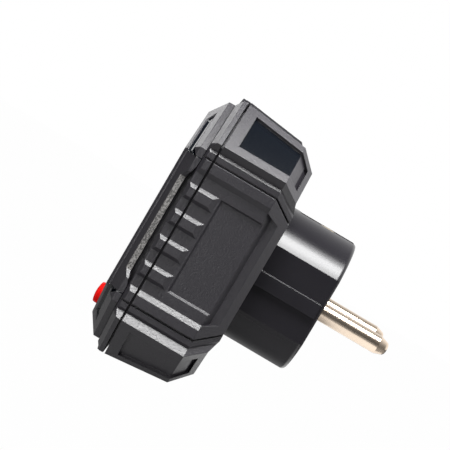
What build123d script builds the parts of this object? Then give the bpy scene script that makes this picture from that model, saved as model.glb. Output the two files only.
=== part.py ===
"""Socket tester: a plug-in tester with a display, three indicator lamps and a test button.

All sizes are in millimetres. X runs across the front, Z up the long side of the case, and Y into the wall,
so the pins point along +Y and the front looks along -Y. The origin is the centre of the plug's engagement
face. Depths are distances forward of that face, so a depth of 41 lies at Y = -41.
"""

import os
from math import cos, radians, sin, tan

from build123d import *

os.makedirs("parts", exist_ok=True)

# Plug and pins
plug_radius = 18.5
plug_flat_x = 16.1
plug_edge_round = 1.0
plug_rib_width = 3.8
plug_rib_height = 1.0
pin_radius = 2.4
pin_length = 19.0
pin_spacing = 19.0
pin_tip_length = 2.6
pin_tip_radius = 1.5
pin_tip_round = 1.1
pin_collar_radius = 2.6
plug_flange_radius = 22.8
plug_flange_thickness = 2.2
plug_clearance = 0.15

# Case outline, seen from the front
case_half_width = 32.0
case_half_height = 35.15
ridge_end_distance = 11.48
facet_angle = 39.0
end_draft = 7.4

# Depths of the case
case_back_depth = 18.3
corner_back_step = 1.1
chamfer_depth = 5.7
facet_chamfer_slope = 1.17
band_step_inset = 3.2
seam_depth = 41.05
seam_gap = 0.55
rim_depth = 43.75
rim_bevel_start = 42.45
rim_bevel_run = 1.82

# Side bands: how far the long grooves that frame each side lie in from its ridges, and their levels
field_drop = 1.4
frame_drop = 0.5
bar_drop = 0.9
ridge_bevel_inset = 1.95
bar_inset = 2.65
groove_outer_inset = 4.05
groove_inner_inset = 4.4
groove_depth = 0.7
frame_outer_inset = 4.6
frame_inner_inset = 7.0
field_inset = 8.3

# Ribs on each side
rib_count = 4
rib_end_gap = 2.795
rib_base_width = 4.0
rib_top_width = 2.2
rib_back_depth = 35.5
rib_end_bevel = 1.25

# Recessed side panel, and the recess behind it in the rear chamfer
panel_front_depth = 35.0
panel_back_depth = 23.0
panel_end_gap = 2.77
panel_recess = 0.65
panel_bevel = 0.45
rear_recess_run = 1.5
rear_recess_drop = 2.7
rear_recess_taper = 2.65

# End pads and facet windows
pad_half_width = 14.0
pad_height = 0.6
pad_back_depth = 25.4
pad_front_depth = 43.5
pad_front_drop = 1.85
pad_front_bevel = 0.5
window_ridge_border = 2.8
window_end_border = 2.0
window_front_depth = 37.8
window_back_depth = 20.7
window_recess = 0.9
slot_length = 1.0
slot_recess = 1.3

# Case walls
wall = 2.2
back_wall_depth = 21.8
cavity_chamfer = 4.7
facet_wall = 2.7
tongue_length = 1.8
tongue_thickness = 1.3
tongue_clearance = 0.15

# Front cover
cover_floor_depth = 42.4
cover_lip = 1.4
cover_opening_side_gap = 0.3
cover_opening_top_gap = 1.1
cover_opening_facet_gap = 0.2
switch_slot_gap = 1.2

# Front frame
frame_side_inset = 2.0
frame_end_inset = 2.0
frame_facet_inset = 3.43
frame_edge_back_depth = 43.9
frame_edge_front_depth = 45.5
frame_front_depth = 48.8
frame_slope_run = 5.0
frame_end_run = 4.6
skirt_inset = 2.0
waist_skirt_inset = 2.3
waist_end_gap = 2.57
waist_jog = 1.7
waist_jog_back_run = 3.6
waist_rise = 1.15
frame_cavity_depth = 45.9
frame_side_wall = 6.0
frame_end_wall = 6.2
frame_facet_wall = 7.2
corner_groove_end = 1.4
corner_groove_low_drop = 2.5
corner_groove_outer = 1.9
corner_groove_inner = 4.05
corner_groove_depth = 2.0
groove_fin_width = 0.5
groove_fin_drop = 0.45
rim_line_inset = 4.0
rim_line_height = 0.3

# Front panel, display and lamps
panel_side_margin = 11.0
panel_top_margin = 8.0
panel_bottom_margin = 12.4
panel_plate_corner = 3.5
panel_pocket_depth = 1.4
panel_plate_thickness = 1.1
panel_plate_clearance = 0.15
display_tower_gap = 0.4
display_side_margin = 2.5
display_half_height = 7.6
display_ledge = 1.3
display_thickness = 1.3
display_edge_bevel = 0.3
lcd_margin = 0.9
lcd_thickness = 2.6
lcd_holder_wall = 1.6
lamp_spacing = 9.0
lamp_drop = 11.6
lamp_radius = 1.5
lamp_clearance = 0.1
led_radius = 1.5
led_height = 2.2
lens_edge_round = 0.4
lens_flange_radius = 2.2
lens_flange_thickness = 0.8

# Test button and switch
button_end_distance = 7.7
button_radius = 2.85
button_clearance = 0.25
button_top_depth = 51.2
button_dome_height = 0.5
button_edge_round = 0.6
button_flange_radius = 3.7
button_flange_clearance = 0.3
button_flange_thickness = 1.0
button_rest_gap = 0.3
button_stem_radius = 1.7
button_travel = 1.0
switch_half = 3.0
switch_height = 3.3
plunger_clearance = 0.25
plunger_overlap = 0.7
plunger_margin = 0.2

# Circuit board and what stands on it
board_front_depth = 38.6
board_thickness = 1.6
board_side_gap = 3.4
board_tower_gap = 1.2
board_tongue_tower_gap = 1.7
board_tongue_end = 0.8
post_wall_gap = 0.4
board_screw_edge_gap = 4.7
post_radius = 2.4
small_screw_radius = 0.85
small_head_radius = 1.7
small_head_height = 1.2
screw_clearance = 0.15
board_screw_grip = 4.0
screw_tip_room = 0.2
capacitor_width = 13.0
capacitor_length = 10.0
capacitor_height = 6.0
capacitor_screw_gap = 1.0
capacitor_edge_gap = 1.0
resistor_radius = 2.4
resistor_lift = 0.8
resistor_lead_width = 0.8
resistor_lead_reach = 1.2
resistor_screw_gap = 0.3
resistor_riser_gap = 0.8
resistor_edge_gap = 1.1
resistor_pitch = 7.0
fuse_radius = 4.25
fuse_height = 8.0
fuse_screw_gap = 1.75
fuse_edge_gap = 2.75
chip_width = 9.0
chip_height = 1.6
chip_screw_gap = 2.0
chip_edge_gap = 2.0

# Contact strips and earth clips
strip_thickness = 0.8
strip_half_width = 2.0
strip_foot_inner_x = 7.0
strip_foot_outer_x = 14.0
strip_slot_clearance = 0.15
strip_reach = 0.6
pin_tail_proud = 0.6
clip_half_width = 2.3
clip_thickness = 0.7
clip_recess_half_width = 3.0
clip_recess_length = 16.4
clip_recess_floor = 15.2
clip_front_depth = 1.6
clip_back_depth = 14.8
clip_root_radius = 16.0
clip_bow = 1.5
clip_slot_gap = 0.15
earth_riser_z = 8.0

# Case and plug screws
case_screw_side_inset = 14.4
case_screw_end_inset = 10.6
case_screw_radius = 1.3
case_head_radius = 2.4
case_head_height = 1.8
case_bore_radius = 2.6
case_seat_depth = 29.5
case_screw_end_depth = 45.8
tower_radius = 3.7
plug_screw_x = 17.9
plug_screw_z = 10.2
plug_screw_grip = 2.4
drive_span = 0.65
drive_width = 0.6
drive_depth = 0.7

# Worked out from the sizes above: the case and its screws
facet_nx = sin(radians(facet_angle))
facet_nz = cos(radians(facet_angle))
ridge_z = case_half_height - ridge_end_distance
case_facet = facet_nx * case_half_width + facet_nz * ridge_z
case_screw_x = case_half_width - case_screw_side_inset
case_screw_z = case_half_height - case_screw_end_inset
chamfer_start_depth = case_back_depth + chamfer_depth
corner_back_depth = case_back_depth + corner_back_step
corner_chamfer = chamfer_depth - corner_back_step
seam_back = seam_depth - seam_gap / 2
seam_front = seam_depth + seam_gap / 2
flange_front_depth = back_wall_depth + plug_flange_thickness
field_x = case_half_width - field_drop
side_frame_x = case_half_width - frame_drop
bar_x = case_half_width - bar_drop
field_z = ridge_z - field_inset
rib_pitch = (2 * (field_z - rib_end_gap) - rib_base_width) / (rib_count - 1)
panel_half_height = field_z - panel_end_gap
inner_half_width = field_x - wall
inner_facet = case_facet - facet_wall

# Worked out: the front frame and what it carries
frame_half_width = case_half_width - frame_side_inset
frame_half_height = case_half_height - frame_end_inset
frame_facet = case_facet - frame_facet_inset
frame_corner_z = (frame_facet - facet_nx * frame_half_width) / facet_nz
frame_cavity_half_width = frame_half_width - frame_side_wall
frame_cavity_half_height = frame_half_height - frame_end_wall
frame_cavity_facet = frame_facet - frame_facet_wall
waist_half_height = field_z - waist_end_gap
panel_half_width = frame_half_width - panel_side_margin
display_half_width = panel_half_width - display_side_margin
panel_top_z = frame_half_height - panel_top_margin
panel_bottom_z = panel_bottom_margin - frame_half_height
display_z = case_screw_z - tower_radius - display_tower_gap - lcd_margin - display_half_height
lamp_z = display_z - lamp_drop
button_z = button_end_distance - frame_half_height

# Worked out: the board
board_back_depth = board_front_depth - board_thickness
board_half_width = inner_half_width - board_side_gap
board_half_height = case_screw_z - tower_radius - board_tower_gap
board_tongue_half_width = case_screw_x - tower_radius - board_tongue_tower_gap
board_tongue_half_height = switch_half + board_tongue_end - button_z
board_screw_x = frame_cavity_half_width - post_radius - post_wall_gap
board_screw_z = board_half_height - board_screw_edge_gap
screw_head_x = board_screw_x - small_head_radius
capacitor_x = capacitor_width / 2 + capacitor_screw_gap - screw_head_x
capacitor_z = capacitor_length / 2 + capacitor_edge_gap - board_half_height
resistor_outer_x = screw_head_x - resistor_screw_gap
resistor_inner_x = strip_half_width + resistor_riser_gap
resistor_upper_z = board_half_height - resistor_edge_gap - resistor_radius
resistor_lower_z = resistor_upper_z - resistor_pitch
fuse_x = screw_head_x - fuse_screw_gap - fuse_radius
fuse_z = fuse_radius + fuse_edge_gap - board_half_height
chip_x = chip_width / 2 + chip_screw_gap - screw_head_x
chip_z = board_half_height - chip_edge_gap - chip_width / 2


def at(depth):
    """Plane square to the pins at a depth, seen from the front: local x is X, local y is Z."""
    return Plane.XZ.offset(depth)


def side(x):
    """Plane square to X: local x is Y, local y is Z."""
    return Plane.YZ.offset(x)


def end_height(depth):
    """Height of the drafted end face over the middle of the case at a depth."""
    return case_half_height - max(seam_back - depth, 0) * tan(radians(end_draft))


def octagon_points(half_width, half_height, facet):
    """Corners of an octagon whose slanted sides lie at the facet angle, a given distance from the middle."""
    corner_x = (facet - facet_nz * half_height) / facet_nx
    corner_z = (facet - facet_nx * half_width) / facet_nz
    upper = [(corner_x, half_height), (half_width, corner_z)]
    right = upper + [(x, -z) for x, z in reversed(upper)]
    left = [(-x, z) for x, z in reversed(right)]
    return right + left


def octagon(half_width, half_height, facet):
    return Polygon(*octagon_points(half_width, half_height, facet), align=None)


def case_sizes(depth):
    """Half width, half height and facet distance of the plain case outline at a depth."""
    inset = max(chamfer_start_depth - depth, 0)
    height = end_height(max(depth, chamfer_start_depth)) - inset
    return case_half_width - inset, height, case_facet - facet_chamfer_slope * inset


band_levels = [
    (case_half_width, 0),
    (field_x, ridge_bevel_inset),
    (bar_x, bar_inset),
    (bar_x, groove_outer_inset),
    (field_x - groove_depth, groove_outer_inset),
    (field_x - groove_depth, groove_inner_inset),
    (side_frame_x, frame_outer_inset),
]
field_levels = [(side_frame_x, frame_inner_inset), (field_x, field_inset)]


def band(levels, inset_x=0.0, inset_z=0.0):
    """Outline of the middle band: its levels out from the middle and how far each lies in from the ridge."""
    upper = [(x - inset_x, ridge_z - inset - inset_z) for x, inset in levels]
    right = upper + [(x, -z) for x, z in reversed(upper)]
    left = [(-x, z) for x, z in reversed(right)]
    return Polygon(*(right + left), align=None)


chamfer_back_ridge = octagon_points(*case_sizes(corner_back_depth))[1][1]
band_taper = (ridge_z - chamfer_back_ridge) / corner_chamfer
band_back_inset = band_taper * chamfer_depth
rib_heights = [(place - (rib_count - 1) / 2) * rib_pitch for place in range(rib_count)]


def facet_quad(depth, recess, reach=3.0):
    """Cross-section of a facet window's cutter at a depth, for the upper right facet."""
    points = octagon_points(*case_sizes(depth))
    end = Vector(*points[0])
    ridge = Vector(*points[1])
    along = (end - ridge).normalized()
    out = Vector(facet_nx, facet_nz)
    low = ridge + along * window_ridge_border
    high = end - along * window_end_border
    corners = [low - out * recess, high - out * recess, high + out * reach, low + out * reach]
    return Polygon(*[(corner.X, corner.Y) for corner in corners], align=None)


def write(part, name):
    part.label = name
    export_step(part, f"parts/{name}.step")
    print(name, "volume", round(part.volume, 1))


def plug_outline(clearance=0.0):
    """Cross-section of the round plug with its two side flats and the rib on each flat."""
    Circle(plug_radius + clearance)
    Rectangle(2 * (plug_flat_x + clearance), 4 * plug_radius, mode=Mode.INTERSECT)
    Rectangle(2 * (plug_flat_x + plug_rib_height + clearance), plug_rib_width + 2 * clearance)


# Ribs of one side: a bar with bevelled long sides and a bevelled back end, on both sides of the seam
def rib_outline(back_depth, width, height):
    with Locations((-(back_depth + rim_depth) / 2, height)):
        Rectangle(rim_depth - back_depth, width)


with BuildPart() as side_ribs:
    for rib_z in rib_heights:
        with BuildSketch(side(field_x)):
            rib_outline(rib_back_depth, rib_base_width, rib_z)
        with BuildSketch(side(side_frame_x)):
            rib_outline(rib_back_depth + rib_end_bevel, rib_top_width, rib_z)
        loft(ruled=True)
    mirror(about=Plane.YZ)


# Facet windows: a recess in each slanted corner that runs over the rear chamfer and ends in a slot
with BuildPart() as facet_windows:
    with BuildSketch(at(window_front_depth)):
        facet_quad(window_front_depth, window_recess)
    with BuildSketch(at(chamfer_start_depth)):
        facet_quad(chamfer_start_depth, window_recess)
    loft(ruled=True)
    with BuildSketch(at(chamfer_start_depth)):
        facet_quad(chamfer_start_depth, window_recess)
    with BuildSketch(at(window_back_depth)):
        facet_quad(window_back_depth, window_recess)
    loft(ruled=True)
    with BuildSketch(at(window_back_depth + slot_length)):
        facet_quad(window_back_depth + slot_length, slot_recess)
    with BuildSketch(at(window_back_depth)):
        facet_quad(window_back_depth, slot_recess)
    loft(ruled=True)
    mirror(about=Plane.YZ)
    mirror(about=Plane.XY)


# Raised pads on both end faces, across the seam
with BuildPart() as end_pads:
    with BuildSketch(Plane.YZ):
        Polygon(
            (-pad_front_depth, 0),
            (-pad_front_depth, case_half_height - pad_front_drop),
            (-pad_front_depth + pad_front_bevel, case_half_height + pad_height),
            (-seam_back, case_half_height + pad_height),
            (-pad_back_depth, end_height(pad_back_depth) + pad_height),
            (-pad_back_depth + pad_height, end_height(pad_back_depth - pad_height)),
            (-pad_back_depth + pad_height, 0),
            align=None,
        )
    extrude(amount=pad_half_width, both=True)
    mirror(about=Plane.XY)


def panel_outline(margin):
    length = panel_front_depth - panel_back_depth
    with Locations((-(panel_front_depth + panel_back_depth) / 2, 0)):
        Rectangle(length - 2 * margin, 2 * (panel_half_height - margin))


# Recessed side panels with sloped edges
with BuildPart() as side_panels:
    with BuildSketch(side(field_x + panel_recess)):
        panel_outline(-panel_bevel)
    with BuildSketch(side(field_x - panel_recess)):
        panel_outline(panel_bevel)
    loft(ruled=True)
    mirror(about=Plane.YZ)


# The recess behind each side panel, cut into the rear chamfer, with slanted ends
with BuildPart() as rear_recesses:
    with BuildSketch(Plane.XY):
        Polygon(
            (field_x, -chamfer_start_depth),
            (field_x - rear_recess_drop, -chamfer_start_depth + rear_recess_run),
            (field_x - rear_recess_drop, -case_back_depth),
            (case_half_width, -case_back_depth),
            (case_half_width, -chamfer_start_depth),
            align=None,
        )
    extrude(amount=field_z, both=True)
    with BuildSketch(Plane.YZ):
        Polygon(
            (-chamfer_start_depth, -field_z),
            (-chamfer_start_depth, field_z),
            (-case_back_depth, field_z - rear_recess_taper),
            (-case_back_depth, -field_z + rear_recess_taper),
            align=None,
        )
    extrude(amount=case_half_width, mode=Mode.INTERSECT)
    mirror(about=Plane.YZ)


# Slanted ends of the middle band where it stands proud of the corners at the back
with BuildPart() as band_end_cuts:
    with BuildSketch(Plane.YZ):
        Polygon(
            (-corner_back_depth, chamfer_back_ridge),
            (-case_back_depth, chamfer_back_ridge - band_step_inset),
            (-case_back_depth, ridge_z),
            (-corner_back_depth, ridge_z),
            align=None,
        )
    extrude(amount=case_half_width, both=True)
    mirror(about=Plane.XY)


# Rear shell
with BuildPart() as rear_housing:
    with BuildSketch(at(chamfer_start_depth)):
        octagon(*case_sizes(chamfer_start_depth))
    with BuildSketch(at(seam_back)):
        octagon(*case_sizes(seam_back))
    loft(ruled=True)
    with BuildSketch(at(corner_back_depth)):
        octagon(*case_sizes(corner_back_depth))
    with BuildSketch(at(chamfer_start_depth)):
        octagon(*case_sizes(chamfer_start_depth))
    loft(ruled=True)

    # The middle band replaces the plain sides and stands proud of the corners at the back
    band_edge_back = ridge_z - band_back_inset
    with BuildSketch(Plane.YZ):
        Polygon(
            (-seam_front, -ridge_z),
            (-chamfer_start_depth, -ridge_z),
            (-case_back_depth, -band_edge_back),
            (-case_back_depth, band_edge_back),
            (-chamfer_start_depth, ridge_z),
            (-seam_front, ridge_z),
            align=None,
        )
    extrude(amount=2 * case_half_width, both=True, mode=Mode.SUBTRACT)
    with BuildSketch(at(chamfer_start_depth)):
        band(band_levels + field_levels)
    extrude(amount=seam_back - chamfer_start_depth)
    with BuildSketch(at(case_back_depth)):
        band(band_levels, chamfer_depth, band_back_inset)
    with BuildSketch(at(chamfer_start_depth)):
        band(band_levels)
    loft(ruled=True)
    add(band_end_cuts.part, mode=Mode.SUBTRACT)

    add(side_ribs.part)
    add(end_pads.part)
    split(bisect_by=at(seam_back), keep=Keep.BOTTOM)
    add(facet_windows.part, mode=Mode.SUBTRACT)
    add(side_panels.part, mode=Mode.SUBTRACT)
    add(rear_recesses.part, mode=Mode.SUBTRACT)

    # The hollow
    cavity_start = back_wall_depth + cavity_chamfer
    inner_half_height = end_height(cavity_start) - wall
    with BuildSketch(at(back_wall_depth)):
        octagon(
            inner_half_width - cavity_chamfer,
            inner_half_height - cavity_chamfer,
            inner_facet - cavity_chamfer,
        )
    with BuildSketch(at(cavity_start)):
        octagon(inner_half_width, inner_half_height, inner_facet)
    loft(ruled=True, mode=Mode.SUBTRACT)
    with BuildSketch(at(cavity_start)):
        octagon(inner_half_width, inner_half_height, inner_facet)
    with BuildSketch(at(seam_back)):
        octagon(inner_half_width, end_height(seam_back) - wall, inner_facet)
    loft(ruled=True, mode=Mode.SUBTRACT)

    # Screw towers, the plug's opening and the screw holes
    with BuildSketch(at(back_wall_depth)):
        with GridLocations(2 * case_screw_x, 2 * case_screw_z, 2, 2):
            Circle(tower_radius)
    extrude(amount=seam_front - back_wall_depth)
    with BuildSketch(at(case_back_depth)):
        with GridLocations(2 * case_screw_x, 2 * case_screw_z, 2, 2):
            Circle(case_bore_radius)
    extrude(amount=case_seat_depth - case_back_depth, mode=Mode.SUBTRACT)
    with BuildSketch(at(case_back_depth)):
        plug_outline(plug_clearance)
        with GridLocations(2 * case_screw_x, 2 * case_screw_z, 2, 2):
            Circle(case_screw_radius + screw_clearance)
    extrude(amount=seam_front - case_back_depth, mode=Mode.SUBTRACT)
    with BuildSketch(at(back_wall_depth - plug_screw_grip)):
        with GridLocations(2 * plug_screw_x, 2 * plug_screw_z, 2, 2):
            Circle(small_screw_radius)
    extrude(amount=plug_screw_grip, mode=Mode.SUBTRACT)
write(rear_housing.part, "rear_housing")


# Front cover: its outline is the case's own, its front edge is bevelled, and its floor carries the frame
with BuildPart() as rim_envelope:
    with BuildSketch(at(seam_front)):
        octagon(case_half_width, case_half_height, case_facet)
    extrude(amount=rim_bevel_start - seam_front)
    with BuildSketch(at(rim_bevel_start)):
        octagon(case_half_width, case_half_height, case_facet)
    with BuildSketch(at(rim_depth)):
        octagon(case_half_width - rim_bevel_run, case_half_height - rim_bevel_run, case_facet - rim_bevel_run)
    loft(ruled=True)

with BuildPart() as front_cover:
    with BuildSketch(at(seam_front)):
        octagon(case_half_width, case_half_height, case_facet)
        Rectangle(2 * case_half_width, 2 * ridge_z, mode=Mode.SUBTRACT)
        band(band_levels + field_levels)
    extrude(amount=rim_depth - seam_front)
    add(side_ribs.part)
    split(bisect_by=at(seam_front), keep=Keep.TOP)
    add(rim_envelope.part, mode=Mode.INTERSECT)
    add(end_pads.part)
    split(bisect_by=at(seam_front), keep=Keep.TOP)

    # The tongue that sits inside the rear shell
    tongue_half_width = inner_half_width - tongue_clearance
    tongue_half_height = end_height(seam_front - tongue_length) - wall - tongue_clearance
    tongue_facet = inner_facet - tongue_clearance
    with BuildSketch(at(seam_front - tongue_length)):
        octagon(tongue_half_width, tongue_half_height, tongue_facet)
    extrude(amount=tongue_length)
    with BuildSketch(at(seam_front - tongue_length)):
        octagon(
            tongue_half_width - tongue_thickness,
            tongue_half_height - tongue_thickness,
            tongue_facet - tongue_thickness,
        )
    extrude(amount=tongue_length, mode=Mode.SUBTRACT)

    # The well that the front frame stands in, and the openings through its floor
    lip_inset = rim_bevel_run + cover_lip
    with BuildSketch(at(cover_floor_depth)):
        octagon(field_x - cover_lip, case_half_height - lip_inset, case_facet - lip_inset)
    extrude(amount=rim_depth - cover_floor_depth, mode=Mode.SUBTRACT)
    with BuildSketch(at(seam_front)):
        octagon(
            frame_cavity_half_width + cover_opening_side_gap,
            display_z + display_half_height + lcd_margin + cover_opening_top_gap,
            frame_cavity_facet + cover_opening_facet_gap,
        )
        with Locations((0, button_z)):
            Rectangle(2 * (switch_half + switch_slot_gap), 2 * (switch_half + switch_slot_gap))
        with GridLocations(2 * case_screw_x, 2 * case_screw_z, 2, 2):
            Circle(case_screw_radius + screw_clearance)
    extrude(amount=cover_floor_depth - seam_front, mode=Mode.SUBTRACT)
write(front_cover.part, "front_cover")


# Front frame
slope_rise = (frame_front_depth - frame_edge_front_depth) / frame_slope_run


def frame_surface(inset):
    """Depth of the frame's sloped border, a distance in from its outer edge."""
    return frame_edge_front_depth + slope_rise * inset


# The waist: the frame is narrower and its edge stands higher between the two jogs
with BuildPart() as waist_cuts:
    waist_half_width = frame_half_width - waist_jog
    waist_skirt_half_width = waist_half_width - waist_skirt_inset
    reach = 2 * waist_jog
    with BuildSketch(at(cover_floor_depth)):
        Polygon(
            (waist_half_width, -waist_half_height),
            (waist_half_width + reach, -waist_half_height - reach),
            (waist_half_width + reach, waist_half_height + reach),
            (waist_half_width, waist_half_height),
            align=None,
        )
    extrude(amount=frame_front_depth - cover_floor_depth)
    with BuildSketch(side(waist_skirt_half_width)):
        Polygon(
            (-frame_edge_back_depth - waist_rise, -waist_half_height),
            (-frame_edge_back_depth - waist_rise, waist_half_height),
            (-frame_edge_back_depth, waist_half_height + waist_jog_back_run),
            (-cover_floor_depth, waist_half_height + waist_jog_back_run),
            (-cover_floor_depth, -waist_half_height - waist_jog_back_run),
            (-frame_edge_back_depth, -waist_half_height - waist_jog_back_run),
            align=None,
        )
    extrude(amount=frame_half_width - waist_skirt_half_width)
    mirror(about=Plane.YZ)

# Corner grooves with a thin fin in the middle, cut parallel to the slanted corners
corner_plane = Plane(
    origin=(frame_half_width, 0, frame_corner_z),
    x_dir=(-facet_nx, 0, -facet_nz),
    z_dir=(-facet_nz, 0, facet_nx),
)
with BuildPart() as corner_grooves:
    fin_inner = (corner_groove_outer + corner_groove_inner) / 2 + groove_fin_width / 2
    fin_outer = fin_inner - groove_fin_width
    with BuildSketch(corner_plane):
        Polygon(
            (corner_groove_outer, frame_front_depth),
            (corner_groove_outer, frame_surface(corner_groove_outer) - corner_groove_depth),
            (fin_outer, frame_surface(fin_outer) - corner_groove_depth),
            (fin_outer, frame_surface(fin_outer) - groove_fin_drop),
            (fin_inner, frame_surface(fin_inner) - groove_fin_drop),
            (fin_inner, frame_surface(fin_inner) - corner_groove_depth),
            (corner_groove_inner, frame_surface(corner_groove_inner) - corner_groove_depth),
            (corner_groove_inner, frame_front_depth),
            align=None,
        )
    extrude(amount=frame_half_width, both=True)
    groove_end_z = frame_corner_z - corner_groove_low_drop
    with BuildSketch(at(cover_floor_depth)):
        frame_corner_x = octagon_points(frame_half_width, frame_half_height, frame_facet)[0][0]
        with Locations((frame_corner_x + corner_groove_end, groove_end_z)):
            Rectangle(frame_half_width, frame_half_height, align=(Align.MIN, Align.MIN))
    extrude(amount=2 * frame_slope_run, mode=Mode.INTERSECT)
    mirror(about=Plane.YZ)
    mirror(about=Plane.XY)

# A low step along each side slope, in line with the grooves
with BuildPart() as side_steps:
    with BuildSketch(Plane.XY.offset(-groove_end_z)):
        step_x = frame_half_width - rim_line_inset
        Polygon(
            (step_x, -frame_surface(rim_line_inset) - rim_line_height),
            (step_x, -frame_surface(rim_line_inset) + rim_line_height),
            (frame_half_width + rim_line_height, -frame_surface(-rim_line_height) + rim_line_height),
            (frame_half_width + rim_line_height, -frame_surface(rim_line_inset) - rim_line_height),
            align=None,
        )
    extrude(amount=2 * groove_end_z)
    mirror(about=Plane.YZ)


def panel_sketch(margin):
    """Outline of the front panel, with slanted corners, grown by a margin."""
    width = panel_half_width + margin
    top = panel_top_z + margin
    bottom = panel_bottom_z - margin
    right = [
        (width - panel_plate_corner, top),
        (width, top - panel_plate_corner),
        (width, bottom + panel_plate_corner),
        (width - panel_plate_corner, bottom),
    ]
    left = [(-x, z) for x, z in reversed(right)]
    Polygon(*(right + left), align=None)


def display_sketch(margin):
    with Locations((0, display_z)):
        Rectangle(2 * (display_half_width + margin), 2 * (display_half_height + margin))


def lamp_circles(radius):
    with Locations((-lamp_spacing, lamp_z), (0, lamp_z), (lamp_spacing, lamp_z)):
        Circle(radius)


def board_screw_circles(radius):
    with GridLocations(2 * board_screw_x, 2 * board_screw_z, 2, 2):
        Circle(radius)


panel_floor_depth = frame_front_depth - panel_pocket_depth
with BuildPart() as front_frame:
    with BuildSketch(at(cover_floor_depth)):
        octagon(frame_half_width - skirt_inset, frame_half_height - skirt_inset, frame_facet - skirt_inset)
    extrude(amount=frame_edge_back_depth - cover_floor_depth)
    with BuildSketch(at(frame_edge_back_depth)):
        octagon(frame_half_width, frame_half_height, frame_facet)
    extrude(amount=frame_edge_front_depth - frame_edge_back_depth)
    with BuildSketch(at(frame_edge_front_depth)):
        octagon(frame_half_width, frame_half_height, frame_facet)
    with BuildSketch(at(frame_front_depth)):
        octagon(
            frame_half_width - frame_slope_run,
            frame_half_height - frame_end_run,
            frame_facet - frame_slope_run,
        )
    loft(ruled=True)
    add(side_steps.part, mode=Mode.SUBTRACT)
    add(corner_grooves.part, mode=Mode.SUBTRACT)
    add(waist_cuts.part, mode=Mode.SUBTRACT)
    with BuildSketch(at(cover_floor_depth)):
        octagon(frame_cavity_half_width, frame_cavity_half_height, frame_cavity_facet)
        with Locations((0, button_z)):
            Circle(button_flange_radius + button_flange_clearance)
    extrude(amount=frame_cavity_depth - cover_floor_depth, mode=Mode.SUBTRACT)

    # The pocket for the panel, and the openings behind it
    with BuildSketch(at(panel_floor_depth)):
        panel_sketch(panel_plate_clearance)
    extrude(amount=panel_pocket_depth, mode=Mode.SUBTRACT)
    with BuildSketch(at(frame_cavity_depth)):
        display_sketch(-display_ledge)
        lamp_circles(lamp_radius + lamp_clearance)
        with Locations((0, button_z)):
            Circle(button_radius + button_clearance)
    extrude(amount=frame_front_depth - frame_cavity_depth, mode=Mode.SUBTRACT)

    # Posts for the board, and the holes that the screws bite into
    with BuildSketch(at(board_front_depth)):
        board_screw_circles(post_radius)
    extrude(amount=frame_cavity_depth - board_front_depth)
    with BuildSketch(at(board_front_depth)):
        board_screw_circles(small_screw_radius)
    extrude(amount=board_screw_grip + screw_tip_room, mode=Mode.SUBTRACT)
    with BuildSketch(at(cover_floor_depth)):
        with GridLocations(2 * case_screw_x, 2 * case_screw_z, 2, 2):
            Circle(case_screw_radius)
    extrude(amount=case_screw_end_depth + screw_tip_room - cover_floor_depth, mode=Mode.SUBTRACT)
write(front_frame.part, "front_frame")


# Front panel, display window and display
with BuildPart() as front_panel:
    with BuildSketch(at(panel_floor_depth)):
        panel_sketch(0)
        with Locations((0, display_z)):
            display_width = 2 * (display_half_width + panel_plate_clearance)
            display_height = 2 * (display_half_height + panel_plate_clearance)
            Rectangle(display_width, display_height, mode=Mode.SUBTRACT)
        with Locations((-lamp_spacing, lamp_z), (0, lamp_z), (lamp_spacing, lamp_z)):
            Circle(lamp_radius + lamp_clearance, mode=Mode.SUBTRACT)
    extrude(amount=panel_plate_thickness)
write(front_panel.part, "front_panel")

with BuildPart() as display_window:
    with BuildSketch(at(panel_floor_depth)):
        display_sketch(0)
    extrude(amount=display_thickness)
    front_edges = display_window.faces().sort_by(Axis.Y)[0].edges()
    chamfer(front_edges, length=display_edge_bevel)
write(display_window.part, "display_window")

lcd_back_depth = frame_cavity_depth - lcd_thickness
with BuildPart() as lcd_module:
    with BuildSketch(at(lcd_back_depth)):
        display_sketch(lcd_margin)
    extrude(amount=lcd_thickness)
write(lcd_module.part, "lcd_module")

with BuildPart() as lcd_holder:
    with BuildSketch(at(board_front_depth)):
        display_sketch(lcd_margin)
    extrude(amount=lcd_back_depth - board_front_depth)
    with BuildSketch(at(board_front_depth)):
        display_sketch(lcd_margin - lcd_holder_wall)
    extrude(amount=lcd_back_depth - board_front_depth - lcd_holder_wall, mode=Mode.SUBTRACT)
write(lcd_holder.part, "lcd_holder")


# Indicator lamps: a lamp on the board and a lens that carries its light to the front panel
led_front_depth = board_front_depth + led_height
for lamp_name, lamp_x in (("left", -lamp_spacing), ("middle", 0), ("right", lamp_spacing)):
    with BuildPart() as led:
        with BuildSketch(at(board_front_depth)):
            with Locations((lamp_x, lamp_z)):
                Circle(led_radius)
        extrude(amount=led_height)
    write(led.part, f"led_{lamp_name}")

    with BuildPart() as lens:
        with BuildSketch(at(led_front_depth)):
            with Locations((lamp_x, lamp_z)):
                Circle(lamp_radius)
        extrude(amount=frame_front_depth - led_front_depth)
        lens_front = lens.faces().sort_by(Axis.Y)[0]
        fillet(lens_front.edges(), radius=lens_edge_round)
        with BuildSketch(at(frame_cavity_depth - lens_flange_thickness)):
            with Locations((lamp_x, lamp_z)):
                Circle(lens_flange_radius)
        extrude(amount=lens_flange_thickness)
    write(lens.part, f"lens_{lamp_name}")


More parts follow.
